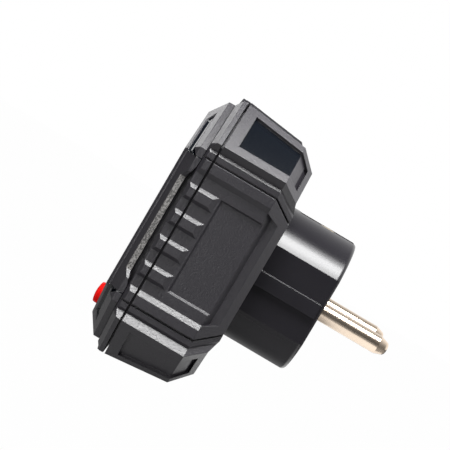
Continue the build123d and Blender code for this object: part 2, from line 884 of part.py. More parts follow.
# Test button, and the switch that it presses
switch_front_depth = board_front_depth + switch_height
plunger_front_depth = switch_front_depth + button_travel + plunger_margin
button_flange_front = frame_cavity_depth - button_rest_gap
button_axis = Axis((0, 0, button_z), (0, -1, 0))
with BuildPart() as test_button:
    with BuildSketch(Plane.YZ):
        with BuildLine():
            cap_edge = button_top_depth - button_dome_height
            Polyline(
                (-button_top_depth, button_z),
                (-plunger_front_depth, button_z),
                (-plunger_front_depth, button_z + button_stem_radius),
                (-button_flange_front + button_flange_thickness, button_z + button_stem_radius),
                (-button_flange_front + button_flange_thickness, button_z + button_flange_radius),
                (-button_flange_front, button_z + button_flange_radius),
                (-button_flange_front, button_z + button_radius),
                (-cap_edge, button_z + button_radius),
            )
            RadiusArc(
                (-cap_edge, button_z + button_radius),
                (-button_top_depth, button_z),
                -(button_radius**2 + button_dome_height**2) / (2 * button_dome_height),
            )
        make_face()
    revolve(axis=button_axis)
    cap_edges = test_button.edges().sort_by_distance((0, -cap_edge, button_z + button_radius))
    fillet(cap_edges[0], radius=button_edge_round)
write(test_button.part, "test_button")

with BuildPart() as switch_plunger:
    with BuildSketch(at(switch_front_depth - plunger_overlap)):
        with Locations((0, button_z)):
            Circle(button_stem_radius)
    extrude(amount=plunger_front_depth - switch_front_depth + plunger_overlap)
write(switch_plunger.part, "switch_plunger")

with BuildPart() as test_switch:
    with BuildSketch(at(board_front_depth)):
        with Locations((0, button_z)):
            Rectangle(2 * switch_half, 2 * switch_half)
    extrude(amount=switch_height)
    well_depth = plunger_overlap + button_travel + plunger_margin
    with BuildSketch(at(switch_front_depth - well_depth)):
        with Locations((0, button_z)):
            Circle(button_stem_radius + plunger_clearance)
    extrude(amount=well_depth, mode=Mode.SUBTRACT)
write(test_switch.part, "test_switch")


# Circuit board
with BuildPart() as main_board:
    with BuildSketch(at(board_back_depth)):
        Rectangle(2 * board_half_width, 2 * board_half_height)
        Rectangle(2 * board_tongue_half_width, 2 * board_tongue_half_height)
        with GridLocations(2 * board_screw_x, 2 * board_screw_z, 2, 2):
            Circle(small_screw_radius + screw_clearance, mode=Mode.SUBTRACT)
        slot_width = strip_thickness + 2 * strip_slot_clearance
        slot_height = 2 * (strip_half_width + strip_slot_clearance)
        with GridLocations(2 * strip_foot_outer_x - strip_thickness, 0, 2, 1):
            Rectangle(slot_width, slot_height, mode=Mode.SUBTRACT)
        with Locations((0, earth_riser_z)):
            Rectangle(slot_height, slot_width, mode=Mode.SUBTRACT)
    extrude(amount=board_thickness)
write(main_board.part, "main_board")


def screw_group(name, spacing_x, spacing_z, seat_depth, end_depth, shaft_radius, head_radius, head_height):
    """Four pan head screws driven from the back, each with a cross recess in its head."""
    with BuildPart() as group:
        with BuildSketch(at(seat_depth - head_height)):
            with GridLocations(spacing_x, spacing_z, 2, 2):
                Circle(head_radius)
        extrude(amount=head_height)
        with BuildSketch(at(seat_depth)):
            with GridLocations(spacing_x, spacing_z, 2, 2):
                Circle(shaft_radius)
        extrude(amount=end_depth - seat_depth)
        with BuildSketch(at(seat_depth - head_height)):
            with GridLocations(spacing_x, spacing_z, 2, 2):
                Rectangle(2 * drive_span * head_radius, drive_width)
                Rectangle(drive_width, 2 * drive_span * head_radius)
        extrude(amount=drive_depth, mode=Mode.SUBTRACT)
    write(group.part, name)


screw_group(
    "board_screws",
    spacing_x=2 * board_screw_x,
    spacing_z=2 * board_screw_z,
    seat_depth=board_back_depth,
    end_depth=board_front_depth + board_screw_grip,
    shaft_radius=small_screw_radius,
    head_radius=small_head_radius,
    head_height=small_head_height,
)
screw_group(
    "housing_screws",
    spacing_x=2 * case_screw_x,
    spacing_z=2 * case_screw_z,
    seat_depth=case_seat_depth,
    end_depth=case_screw_end_depth,
    shaft_radius=case_screw_radius,
    head_radius=case_head_radius,
    head_height=case_head_height,
)


# Screws that hold the plug's flange, driven from the front
with BuildPart() as plug_screws:
    with BuildSketch(at(back_wall_depth - plug_screw_grip)):
        with GridLocations(2 * plug_screw_x, 2 * plug_screw_z, 2, 2):
            Circle(small_screw_radius)
    extrude(amount=plug_screw_grip + plug_flange_thickness)
    with BuildSketch(at(flange_front_depth)):
        with GridLocations(2 * plug_screw_x, 2 * plug_screw_z, 2, 2):
            Circle(small_head_radius)
    extrude(amount=small_head_height)
    with BuildSketch(at(flange_front_depth + small_head_height - drive_depth)):
        with GridLocations(2 * plug_screw_x, 2 * plug_screw_z, 2, 2):
            Rectangle(2 * drive_span * small_head_radius, drive_width)
            Rectangle(drive_width, 2 * drive_span * small_head_radius)
    extrude(amount=drive_depth, mode=Mode.SUBTRACT)
write(plug_screws.part, "plug_screws")


# Plug body
clip_slot_inner = clip_root_radius - clip_slot_gap
clip_slot_outer = clip_root_radius + clip_thickness + clip_slot_gap
with BuildPart() as clip_cuts:
    with BuildSketch(at(0)):
        with Locations((0, clip_recess_floor)):
            Rectangle(2 * clip_recess_half_width, plug_radius, align=(Align.CENTER, Align.MIN))
    extrude(amount=clip_recess_length)
    with BuildSketch(at(clip_back_depth)):
        with Locations((0, clip_slot_inner)):
            slot_size = (2 * (clip_half_width + clip_slot_gap), clip_slot_outer - clip_slot_inner)
            Rectangle(*slot_size, align=(Align.CENTER, Align.MIN))
    extrude(amount=flange_front_depth - clip_back_depth)
    mirror(about=Plane.XY)

with BuildPart() as plug_body:
    with BuildSketch(at(0)):
        Circle(plug_radius)
        Rectangle(2 * plug_flat_x, 2 * plug_radius, mode=Mode.INTERSECT)
    extrude(amount=back_wall_depth)
    face_edges = plug_body.faces().sort_by(Axis.Y)[-1].edges()
    fillet(face_edges, radius=plug_edge_round)
    with BuildSketch(at(plug_edge_round)):
        Rectangle(2 * (plug_flat_x + plug_rib_height), plug_rib_width)
    extrude(amount=back_wall_depth - plug_edge_round)
    with BuildSketch(at(back_wall_depth)):
        Circle(plug_flange_radius)
        with GridLocations(2 * plug_screw_x, 2 * plug_screw_z, 2, 2):
            Circle(small_screw_radius + screw_clearance, mode=Mode.SUBTRACT)
    extrude(amount=plug_flange_thickness)
    add(clip_cuts.part, mode=Mode.SUBTRACT)
    with BuildSketch(at(0)):
        with GridLocations(pin_spacing, 0, 2, 1):
            Circle(pin_collar_radius)
    extrude(amount=flange_front_depth, mode=Mode.SUBTRACT)
write(plug_body.part, "plug_body")


# Pins, and the strips that join them to the board
strip_back_depth = flange_front_depth + pin_tail_proud
strip_front_depth = strip_back_depth + strip_thickness
strip_end_depth = board_front_depth + strip_reach
for name, sign in (("live", -1), ("neutral", 1)):
    with BuildPart() as pin:
        with BuildSketch(at(pin_tip_length - pin_length)):
            with Locations((sign * pin_spacing / 2, 0)):
                Circle(pin_radius)
        extrude(amount=pin_length - pin_tip_length)
        with BuildSketch(at(pin_tip_length - pin_length)):
            with Locations((sign * pin_spacing / 2, 0)):
                Circle(pin_radius)
        with BuildSketch(at(-pin_length)):
            with Locations((sign * pin_spacing / 2, 0)):
                Circle(pin_tip_radius)
        loft()
        tip_edges = pin.faces().sort_by(Axis.Y)[-1].edges()
        fillet(tip_edges, radius=pin_tip_round)
        with BuildSketch(at(0)):
            with Locations((sign * pin_spacing / 2, 0)):
                Circle(pin_collar_radius)
        extrude(amount=strip_back_depth)
    write(pin.part, f"{name}_pin")

    with BuildPart() as strip:
        with BuildSketch(Plane.XY):
            Polygon(
                (sign * strip_foot_inner_x, -strip_back_depth),
                (sign * strip_foot_outer_x, -strip_back_depth),
                (sign * strip_foot_outer_x, -strip_end_depth),
                (sign * (strip_foot_outer_x - strip_thickness), -strip_end_depth),
                (sign * (strip_foot_outer_x - strip_thickness), -strip_front_depth),
                (sign * strip_foot_inner_x, -strip_front_depth),
                align=None,
            )
        extrude(amount=strip_half_width, both=True)
    write(strip.part, f"{name}_strip")


# Earth clips and the bridge between them
clip_middle_depth = (clip_front_depth + clip_back_depth) / 2
clip_outer = clip_root_radius + clip_thickness
for name, sign in (("upper", 1), ("lower", -1)):
    with BuildPart() as clip:
        with BuildSketch(Plane.YZ):
            with BuildLine():
                ThreePointArc(
                    (-clip_front_depth, sign * clip_outer),
                    (-clip_middle_depth, sign * (clip_outer + clip_bow)),
                    (-clip_back_depth, sign * clip_outer),
                )
                Polyline(
                    (-clip_back_depth, sign * clip_outer),
                    (-strip_back_depth, sign * clip_outer),
                    (-strip_back_depth, sign * clip_root_radius),
                    (-clip_back_depth, sign * clip_root_radius),
                )
                ThreePointArc(
                    (-clip_back_depth, sign * clip_root_radius),
                    (-clip_middle_depth, sign * (clip_root_radius + clip_bow)),
                    (-clip_front_depth, sign * clip_root_radius),
                )
                Line((-clip_front_depth, sign * clip_root_radius), (-clip_front_depth, sign * clip_outer))
            make_face()
        extrude(amount=clip_half_width, both=True)
    write(clip.part, f"earth_clip_{name}")

with BuildPart() as earth_bridge:
    with BuildSketch(at(strip_back_depth)):
        Rectangle(2 * strip_half_width, 2 * clip_outer)
    extrude(amount=strip_thickness)
    with BuildSketch(at(strip_front_depth)):
        with Locations((0, earth_riser_z)):
            Rectangle(2 * strip_half_width, strip_thickness)
    extrude(amount=strip_end_depth - strip_front_depth)
write(earth_bridge.part, "earth_bridge")


# Parts on the back of the board
with BuildPart() as supply_capacitor:
    with BuildSketch(at(board_back_depth)):
        with Locations((capacitor_x, capacitor_z)):
            Rectangle(capacitor_width, capacitor_length)
    extrude(amount=-capacitor_height)
write(supply_capacitor.part, "supply_capacitor")

resistor_x = (resistor_inner_x + resistor_outer_x) / 2
resistor_lead_span = resistor_outer_x - resistor_inner_x
resistor_length = resistor_lead_span - 2 * resistor_lead_reach
resistor_middle_depth = board_back_depth - resistor_lift - resistor_radius
for name, resistor_z in (("upper", resistor_upper_z), ("lower", resistor_lower_z)):
    with BuildPart() as resistor:
        with BuildSketch(side(resistor_x - resistor_length / 2)):
            with Locations((-resistor_middle_depth, resistor_z)):
                Circle(resistor_radius)
        extrude(amount=resistor_length)
        with BuildSketch(at(resistor_middle_depth - resistor_lead_width / 2)):
            with Locations((resistor_x, resistor_z)):
                Rectangle(resistor_lead_span, resistor_lead_width)
        extrude(amount=resistor_lead_width)
        with BuildSketch(at(resistor_middle_depth)):
            with Locations((resistor_x, resistor_z)):
                with GridLocations(resistor_lead_span - resistor_lead_width, 0, 2, 1):
                    Rectangle(resistor_lead_width, resistor_lead_width)
        extrude(amount=resistor_lift + resistor_radius)
    write(resistor.part, f"load_resistor_{name}")

with BuildPart() as fuse:
    with BuildSketch(at(board_back_depth)):
        with Locations((fuse_x, fuse_z)):
            Circle(fuse_radius)
    extrude(amount=-fuse_height)
write(fuse.part, "fuse")

with BuildPart() as controller_chip:
    with BuildSketch(at(board_back_depth)):
        with Locations((chip_x, chip_z)):
            Rectangle(chip_width, chip_width)
    extrude(amount=-chip_height)
write(controller_chip.part, "controller_chip")
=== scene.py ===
# %% [markdown]
# # A plug-in socket tester, dressed for a studio picture
# The real tester is a black octagonal case on a round mains plug: ribbed sides, a sloped front
# frame, a red button at the lower end of the front, and two pale metal pins. The shapes come from
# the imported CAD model, and this file gives them their finishes, the lamps and the camera.

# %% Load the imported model
import math

import bpy
from mathutils import Matrix, Vector

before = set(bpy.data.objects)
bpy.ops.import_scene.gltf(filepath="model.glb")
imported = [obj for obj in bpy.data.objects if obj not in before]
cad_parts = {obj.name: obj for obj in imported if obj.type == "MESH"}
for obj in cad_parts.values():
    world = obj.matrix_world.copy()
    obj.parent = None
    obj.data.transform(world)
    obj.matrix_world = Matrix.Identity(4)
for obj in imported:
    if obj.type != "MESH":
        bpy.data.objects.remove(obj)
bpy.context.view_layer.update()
bpy.ops.object.select_all(action="DESELECT")

MILLIMETRE = 0.001


# %% [markdown]
# ## The camera
# The picture looks square at one side of the case from a little under 0.4 m, and it is rolled, so
# that the plug points down to the right. A camera could be aimed with a Track To constraint, but
# that keeps it upright. Here its three axes are worked out from the look direction and the roll,
# and written into its matrix.

# %% Camera with a roll
CAMERA_ROLL = math.radians(30.5)
CAMERA_TILT = math.radians(4.2)
CAMERA_DISTANCE = 0.385
CAMERA_AIM = Vector((0.0, -0.0313, 0.0057))
NEAREST_SEEN = 0.01
PIXELS_WIDE = 450
FOCAL_PIXELS = 1513
SENSOR_WIDTH_MM = 36.0

look = Vector((-math.cos(CAMERA_TILT), 0.0, -math.sin(CAMERA_TILT)))
level_right = Vector((0.0, 1.0, 0.0))
level_up = level_right.cross(look)
picture_right = math.cos(CAMERA_ROLL) * level_right + math.sin(CAMERA_ROLL) * level_up
picture_up = math.cos(CAMERA_ROLL) * level_up - math.sin(CAMERA_ROLL) * level_right

bpy.ops.object.camera_add()
camera = bpy.context.object
camera.name = "picture_camera"
camera.data.sensor_width = SENSOR_WIDTH_MM
camera.data.lens = FOCAL_PIXELS / PIXELS_WIDE * SENSOR_WIDTH_MM
camera.data.clip_start = NEAREST_SEEN
camera_axes = Matrix((picture_right, picture_up, -look)).transposed().to_4x4()
camera.matrix_world = Matrix.Translation(CAMERA_AIM - CAMERA_DISTANCE * look) @ camera_axes
bpy.context.scene.camera = camera
camera_place = [round(v, 3) for v in camera.matrix_world.translation]
print("lens", round(camera.data.lens, 1), "mm at", camera_place)

# %% [markdown]
# ## Node maths that reads like maths
# A finish needs many small sums on values that change over the surface. Each could be a Math node
# placed by hand, but the sum is then hard to read. A small class that wraps a socket lets
# Python's own signs add the nodes.

# %% A socket that can be added, multiplied and compared
SHARP = 1e-5
HALF_WAY = 0.5


class Field:
    """A number that changes from point to point: an output socket with Python's operators."""

    def __init__(self, sheet, socket):
        self.sheet = sheet
        self.socket = socket

    def math(self, operation, *values, clamp=False):
        settings = {"operation": operation, "use_clamp": clamp}
        return self.sheet.node("ShaderNodeMath", settings, dict(enumerate(values)))[0]

    def __add__(self, other):
        return self.math("ADD", self, other)

    __radd__ = __add__

    def __sub__(self, other):
        return self.math("SUBTRACT", self, other)

    def __rsub__(self, other):
        return self.math("SUBTRACT", other, self)

    def __mul__(self, other):
        return self.math("MULTIPLY", self, other)

    __rmul__ = __mul__

    def __truediv__(self, other):
        return self.math("DIVIDE", self, other)

    def __abs__(self):
        return self.math("ABSOLUTE", self)

    def sign(self):
        """-1 where the number is below 0, and 1 where it is above."""
        return self.math("SIGN", self)

    def largest(self, other):
        return self.math("MAXIMUM", self, other)

    def above(self, level, softness=SHARP):
        """0 below the level and 1 above it, with a soft step centred on it."""
        return self.math("ADD", (self - level) / softness, HALF_WAY, clamp=True)

    def below(self, level, softness=SHARP):
        return 1 - self.above(level, softness)

    def between(self, low, high, softness=SHARP):
        return self.above(low, softness) * self.below(high, softness)


print("a sharp step is", round(SHARP / MILLIMETRE, 3), "mm wide")

# %% [markdown]
# ## Sheets of nodes
# Nodes are usually placed one by one in the Shader Editor, and nobody sees afterwards in which
# order. Here one method adds any node: its settings are set first, because they can change which
# sockets it has, and then the values or links of its sockets. The world uses the same sheet.


# %% A sheet that nodes are added to
class Outputs:
    """The outputs of a node, by name or number, each wrapped as a Field."""

    def __init__(self, sheet, node):
        self.sheet = sheet
        self.node = node

    def __getitem__(self, key):
        return Field(self.sheet, self.node.outputs[key])


class NodeSheet:
    """An empty node tree, and what adds nodes to it."""

    def __init__(self, tree):
        self.tree = tree
        self.tree.nodes.clear()

    def feed(self, socket, value):
        """Links a Field to a socket, or sets the socket's value. A colour is made opaque."""
        if isinstance(value, Field):
            self.tree.links.new(value.socket, socket)
        elif socket.type == "RGBA":
            socket.default_value = (*value, 1.0)
        else:
            socket.default_value = value

    def node(self, kind, settings=None, sockets=None):
        node = self.tree.nodes.new(kind)
        for name, value in (settings or {}).items():
            setattr(node, name, value)
        for name, value in (sockets or {}).items():
            self.feed(node.inputs[name], value)
        return Outputs(self, node)


print("node sheets ready")

# %% [markdown]
# ## Finishes
# Every finish here is the same kind of material: one Principled shader, fed by patterns that read
# Object coordinates. An image would show more of one real tester, but it needs a UV map, and
# the pattern of a node stays sharp at any distance.

# %% A finish: one procedural material
BEVEL_SAMPLES = 4
# A Mix node has one set of sockets for each kind of value. These are the numbers for colours.
MIX_SHARE, MIX_FIRST_COLOR, MIX_SECOND_COLOR, MIX_COLOR = 0, 6, 7, 2


class Finish(NodeSheet):
    """One material, with its patterns and its relief."""

    def __init__(self, name, **shader_values):
        self.material = bpy.data.materials.new(name)
        self.material.use_nodes = True
        super().__init__(self.material.node_tree)
        self.shader = self.tree.nodes.new("ShaderNodeBsdfPrincipled")
        self.output = self.tree.nodes.new("ShaderNodeOutputMaterial")
        self.tree.links.new(self.shader.outputs["BSDF"], self.output.inputs["Surface"])
        self.set(**shader_values)
        self.place = self.node("ShaderNodeTexCoord")["Object"]
        axes = self.node("ShaderNodeSeparateXYZ", {}, {0: self.place})
        self.x, self.y, self.z = axes[0], axes[1], axes[2]

    def set(self, **values):
        """Feeds sockets of the shader: base_color feeds Base Color, and so on."""
        for name, value in values.items():
            words = name.replace("_", " ").title().replace("Ior", "IOR")
            self.feed(self.shader.inputs[words], value)

    def noise(self, grains, detail=2.0, place=None):
        """Soft random patches from 0 to 1, this many to a metre."""
        values = {"Vector": place or self.place, "Scale": grains, "Detail": detail}
        return self.node("ShaderNodeTexNoise", {}, values)["Fac"]

    def streaks(self, grains_each_way, detail):
        """Noise with its own count of patches to a metre along each axis, so that it runs."""
        scaled = {"Vector": self.place, "Scale": grains_each_way}
        place = self.node("ShaderNodeMapping", {}, scaled)["Vector"]
        return self.noise(1.0, detail, place)

    def blend(self, share, first, second):
        """A colour between two: the first where share is 0, the second where it is 1."""
        settings = {"data_type": "RGBA", "clamp_factor": True}
        values = {MIX_SHARE: share, MIX_FIRST_COLOR: first, MIX_SECOND_COLOR: second}
        return self.node("ShaderNodeMix", settings, values)[MIX_COLOR]

    def relief(self, height, depth, strength=1.0, edge_radius=0.0):
        """A fine relief, on edges that look rounded where a radius is given."""
        values = {"Height": height, "Distance": depth, "Strength": strength}
        if edge_radius:
            rounded = self.node(
                "ShaderNodeBevel", {"samples": BEVEL_SAMPLES}, {"Radius": edge_radius}
            )
            values["Normal"] = rounded["Normal"]
        self.set(normal=self.node("ShaderNodeBump", {}, values)["Normal"])


print("a rounded edge takes", BEVEL_SAMPLES, "samples")

# %% [markdown]
# ## Floor and backdrop
# The picture has a pure white ground and no hard shadow. A white sweep behind the object would
# do, but it needs strong light that also washes out black plastic. Here the world and the floor
# show white to the camera only, and the object keeps plain light of its own.

# %% Floor
FLOOR_DROP = 0.15
FLOOR_SIZE = 4.0
FLOOR_WHITE_SHARE = 0.99
FLOOR_GREY = (0.30, 0.30, 0.30)
FLOOR_ROUGHNESS = 0.9
WHITE = (1.0, 1.0, 1.0)
WHITE_STRENGTH = 1.0

bpy.ops.mesh.primitive_plane_add(size=FLOOR_SIZE, location=(0, 0, -FLOOR_DROP))
floor = bpy.context.object
floor.name = "floor"
floor_paint = Finish("floor_paint", base_color=FLOOR_GREY, roughness=FLOOR_ROUGHNESS)
camera_ray = floor_paint.node("ShaderNodeLightPath")["Is Camera Ray"]
white = {"Color": WHITE, "Strength": WHITE_STRENGTH}
glow = floor_paint.node("ShaderNodeEmission", {}, white)["Emission"]
paint = Field(floor_paint, floor_paint.shader.outputs["BSDF"])
# Both shader sockets of a Mix Shader have one name, so its sockets go by number.
shaders = {0: camera_ray * FLOOR_WHITE_SHARE, 1: paint, 2: glow}
seen_floor = floor_paint.node("ShaderNodeMixShader", {}, shaders)[0]
floor_paint.feed(floor_paint.output.inputs["Surface"], seen_floor)
floor.data.materials.append(floor_paint.material)
print("floor", FLOOR_SIZE, "m wide,", FLOOR_DROP, "m below the middle of the plug")

# %% [markdown]
# ### What the black surfaces mirror
# Black plastic has little colour of its own, and its shape is drawn by what it mirrors. An even
# backdrop would be simpler, but it flattens the case. So mirrored rays see a backdrop that is
# bright behind the object and beyond its pins, and dark on the camera's side.

# %% Backdrop
BACKDROP_LIGHT = 0.28
BRIGHT_SIDE = (-0.6, 0.8, 0.0)
DARK_SIDE_LIGHT = 0.08
BRIGHT_SIDE_LIGHT = 1.0
DARK_UP_TO = 0.1
BRIGHT_FROM = 0.7

world = bpy.data.worlds.new("studio")
bpy.context.scene.world = world
world.use_nodes = True
sky = NodeSheet(world.node_tree)
direction = sky.node("ShaderNodeTexCoord")["Generated"]
product = {"operation": "DOT_PRODUCT"}
toward_bright = sky.node("ShaderNodeVectorMath", product, {0: direction, 1: BRIGHT_SIDE})["Value"]
ramp = {
    "Value": toward_bright,
    "From Min": DARK_UP_TO,
    "From Max": BRIGHT_FROM,
    "To Min": DARK_SIDE_LIGHT,
    "To Max": BRIGHT_SIDE_LIGHT,
}
mirrored_light = sky.node("ShaderNodeMapRange", {}, ramp)["Result"]
rays = sky.node("ShaderNodeLightPath")
is_mirrored = rays["Is Glossy Ray"].largest(rays["Is Transmission Ray"])
lights = {"Factor": is_mirrored, "A": BACKDROP_LIGHT, "B": mirrored_light}
light = sky.node("ShaderNodeMix", {}, lights)["Result"].largest(rays["Is Camera Ray"])
shade = sky.node("ShaderNodeBackground", {}, {"Color": WHITE, "Strength": light})["Background"]
sky.node("ShaderNodeOutputWorld", {}, {"Surface": shade})
bpy.context.scene.view_settings.view_transform = "Standard"
print("backdrop gives", BACKDROP_LIGHT, "of white to the object")

# %% [markdown]
# ## Lamps
# Black plastic shows its lamps more than its own colour, so each lamp is placed for one row of
# faces: a key box above and towards the camera for the slanted edges and the band along the plug,
# a small one close above for the faces that look up, a wide one behind for the front frame's
# slopes, and a fill from the front. A card just under the pins gives them the pale lower side
# that a white table would. One large dome would be simpler, but it lights all faces alike.

# %% Lamps
CASE_AIM = Vector((0.0, -0.02, 0.0))
PINS_AIM = Vector((0.0, 0.032, 0.0))
SOFT_BOXES = (
    # name, aim, direction from the aim, distance from it, width, height, watts
    ("key_box", CASE_AIM, (0.42, -0.06, 0.91), 0.5, 0.24, 0.22, 2.7),
    ("top_box", CASE_AIM, (0.40, 0.0, 1.0), 0.107, 0.13, 0.042, 0.11),
    ("back_box", CASE_AIM, (-0.8, -0.45, 0.30), 0.7, 0.6, 0.25, 1.1),
    ("front_fill", CASE_AIM, (0.85, -0.5, -0.05), 0.8, 0.5, 0.5, 2.4),
    ("pin_card", PINS_AIM, (0.0, 0.0, -1.0), 0.06, 0.26, 0.045, 0.028),
)

for name, aim, toward, distance, width, height, watts in SOFT_BOXES:
    where = aim + distance * Vector(toward).normalized()
    bpy.ops.object.light_add(type="AREA", location=where)
    lamp = bpy.context.object
    lamp.name = name
    lamp.data.shape = "RECTANGLE"
    lamp.data.size = width
    lamp.data.size_y = height
    lamp.data.energy = watts
    lamp.rotation_euler = (aim - where).to_track_quat("-Z", "Y").to_euler()
    print(name, "at", [round(v, 2) for v in where], "gives", watts, "W")

# %% [markdown]
# ## The case's black plastic
# The mould of the case was eroded to a fine matt grain, so the plastic sparkles a little where
# light grazes it. An image of the grain would need UVs, so the grain is noise at two sizes in
# object coordinates, as a relief. It comes first, and then the places where the mould differs.

# %% Eroded grain
COARSE_GRAINS = 2100.0
FINE_GRAINS = 5000.0
COARSE_SHARE = 0.6
CASE_GLOSS = 0.8

case_black = Finish("case_black_plastic", specular_ior_level=CASE_GLOSS)
coarse = case_black.noise(COARSE_GRAINS, detail=1.0)
fine = case_black.noise(FINE_GRAINS, detail=1.0)
grain = COARSE_SHARE * coarse + (1 - COARSE_SHARE) * fine
print("coarse grain of", round(1 / COARSE_GRAINS / MILLIMETRE, 2), "mm")

# %% [markdown]
# ### Polished windows
# The floors of the windows in the two upper slanted corners are polished, smooth and nearly
# black, with a blue tint that is a painted reflection. They could be a piece of their own, but
# they are moulded in one with the case. So a mask finds them from the sizes of the model: how far
# a point lies out along the corner's direction, and whether its face looks that way.

# %% Where a corner window's floor is
CORNER_ANGLE = math.radians(39.0)
WINDOW_FLOOR = 37.63 * MILLIMETRE
FLOOR_BAND = 0.35 * MILLIMETRE
FLOOR_SOFTNESS = 0.1 * MILLIMETRE
WINDOW_FRONT = -37.8 * MILLIMETRE
WINDOW_BACK = -24.0 * MILLIMETRE
WINDOW_END = 24.2 * MILLIMETRE
WINDOW_SOFTNESS = 0.2 * MILLIMETRE
LOOKS_OUTWARD = 0.6
OUTWARD_SOFTNESS = 0.05
OUT_X = math.sin(CORNER_ANGLE)
OUT_Z = math.cos(CORNER_ANGLE)

out_along_corner = OUT_X * abs(case_black.x) + OUT_Z * abs(case_black.z)
normal = case_black.node("ShaderNodeTexCoord")["Normal"]
facing = case_black.node("ShaderNodeSeparateXYZ", {}, {0: normal})
facing_x = facing[0] * case_black.x.sign()
facing_z = facing[2] * case_black.z.sign()
outward = OUT_X * facing_x + OUT_Z * facing_z

on_floor = abs(out_along_corner - WINDOW_FLOOR).below(FLOOR_BAND, FLOOR_SOFTNESS)
in_length = case_black.y.between(WINDOW_FRONT, WINDOW_BACK, WINDOW_SOFTNESS)
in_width = abs(case_black.z).above(WINDOW_END, WINDOW_SOFTNESS)
in_window = on_floor * in_length * in_width
in_window = in_window * outward.above(LOOKS_OUTWARD, OUTWARD_SOFTNESS)
in_window = in_window * case_black.z.above(0.0)
print("window floors", round((WINDOW_BACK - WINDOW_FRONT) / MILLIMETRE, 1), "mm long")

# %% [markdown]
# ### Polished grooves with painted shade
# The grooves beside the front frame's slopes are polished too, and painted shade darkens them to
# dark lines. Their floors are found in the same way, from how far they lie inside the frame's
# slanted corner and below its slope.

# %% Where a groove beside the front slopes is
FRAME_CORNER = 35.10 * MILLIMETRE
FRAME_EDGE_FRONT = 45.5 * MILLIMETRE
FRAME_SLOPE_RISE = 0.66
GROOVE_OUTER = 1.8 * MILLIMETRE
GROOVE_INNER = 4.15 * MILLIMETRE
GROOVE_LIP = 0.35 * MILLIMETRE
GROOVE_DEEPEST = 3.0 * MILLIMETRE
GROOVE_END = 18.3 * MILLIMETRE

inside_corner = FRAME_CORNER - out_along_corner
below_slope = FRAME_EDGE_FRONT + FRAME_SLOPE_RISE * inside_corner + case_black.y
# Painted shade: the groove floors are painted near black where shade falls in them.
groove_painted_shade = inside_corner.between(GROOVE_OUTER, GROOVE_INNER)
groove_painted_shade = groove_painted_shade * below_slope.between(GROOVE_LIP, GROOVE_DEEPEST)
groove_painted_shade = groove_painted_shade * abs(case_black.z).above(GROOVE_END)
# The polished places: window floors, and grooves with painted shade.
polish_and_painted_shade = in_window.largest(groove_painted_shade)
print("grooves", round((GROOVE_INNER - GROOVE_OUTER) / MILLIMETRE, 2), "mm wide")

# %% [markdown]
# ### The painted highlight on the waist
# The front frame is narrower in the middle, and its edge there is painted with a lighter, flecked
# highlight. A painted highlight could follow every edge with the Bevel node, but only this one
# gets it.

# %% Where the painted highlight on the waist is
EDGE_ROUND = 0.22 * MILLIMETRE
WAIST_X = 28.3 * MILLIMETRE
WAIST_HALF_HEIGHT = 12.8 * MILLIMETRE
WAIST_BACK = 45.05 * MILLIMETRE
WAIST_FRONT = 46.7 * MILLIMETRE
FLECKS = 2600.0
FLECK_LEVEL = 0.5
FLECK_SOFTNESS = 0.16

# Painted highlight: a lighter, flecked strip along the waist's edge.
waist_painted_highlight = case_black.y.between(-WAIST_FRONT, -WAIST_BACK)
waist_painted_highlight = waist_painted_highlight * abs(case_black.x).between(WAIST_X - EDGE_ROUND, WAIST_X + EDGE_ROUND)
waist_painted_highlight = waist_painted_highlight * abs(case_black.z).below(WAIST_HALF_HEIGHT)
flecks = case_black.noise(FLECKS).above(FLECK_LEVEL, FLECK_SOFTNESS)
print("painted highlight edge", round((WAIST_FRONT - WAIST_BACK) / MILLIMETRE, 2), "mm wide")

# %% [markdown]
# ### Case plastic, put together
# The plastic's tone drifts a little over the case, as a moulding's does, then come the painted
# highlight on the waist, and the polish with its painted shade in the grooves and painted blue
# reflection on the window floors. The mould's small radii could be modelled, but each would be a
# row of thin faces, so a Bevel node rounds the light on the edges.

# %% Case plastic
CLOUDS = 60.0
CASE_DARK, CASE_LIGHT = (0.023, 0.021, 0.026), (0.030, 0.028, 0.034)
# Painted highlight colours for the waist's edge.
WAIST_HIGHLIGHT_DARK, WAIST_HIGHLIGHT_LIGHT = (0.07, 0.068, 0.066), (0.30, 0.29, 0.28)
# Painted shade in the grooves, and on the window floors a near black with a painted blue
# reflection.
BLACK_PAINTED_SHADE_AND_REFLECTION = (0.0015, 0.0030, 0.0060)
MATT_ROUGHNESS = 0.20
GRAIN_ROUGHNESS = 0.26
POLISHED_ROUGHNESS = 0.12
GRAIN_DEPTH = 0.08 * MILLIMETRE

case_color = case_black.blend(case_black.noise(CLOUDS, detail=3.0), CASE_DARK, CASE_LIGHT)
# The waist's edge painted with a flecked highlight.
waist_highlight_color = case_black.blend(flecks, WAIST_HIGHLIGHT_DARK, WAIST_HIGHLIGHT_LIGHT)
case_color = case_black.blend(waist_painted_highlight, case_color, waist_highlight_color)
matt_roughness = MATT_ROUGHNESS + GRAIN_ROUGHNESS * grain
# Painted shade in the grooves, a painted blue reflection on the window floors, and a painted
# highlight on the waist.
case_black.set(
    base_color=case_black.blend(polish_and_painted_shade, case_color, BLACK_PAINTED_SHADE_AND_REFLECTION),
    roughness=matt_roughness * (1 - polish_and_painted_shade) + POLISHED_ROUGHNESS * polish_and_painted_shade,
)
case_black.relief(grain * (1 - polish_and_painted_shade), GRAIN_DEPTH, edge_radius=EDGE_ROUND)


def wear(finish, *nodes):
    """Gives carried-over CAD nodes a finish, through their own material slots."""
    for name in nodes:
        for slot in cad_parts[name].material_slots:
            slot.material = finish.material
    print(finish.material.name, "on", ", ".join(nodes))


wear(case_black, "rear_housing", "front_cover", "front_frame")

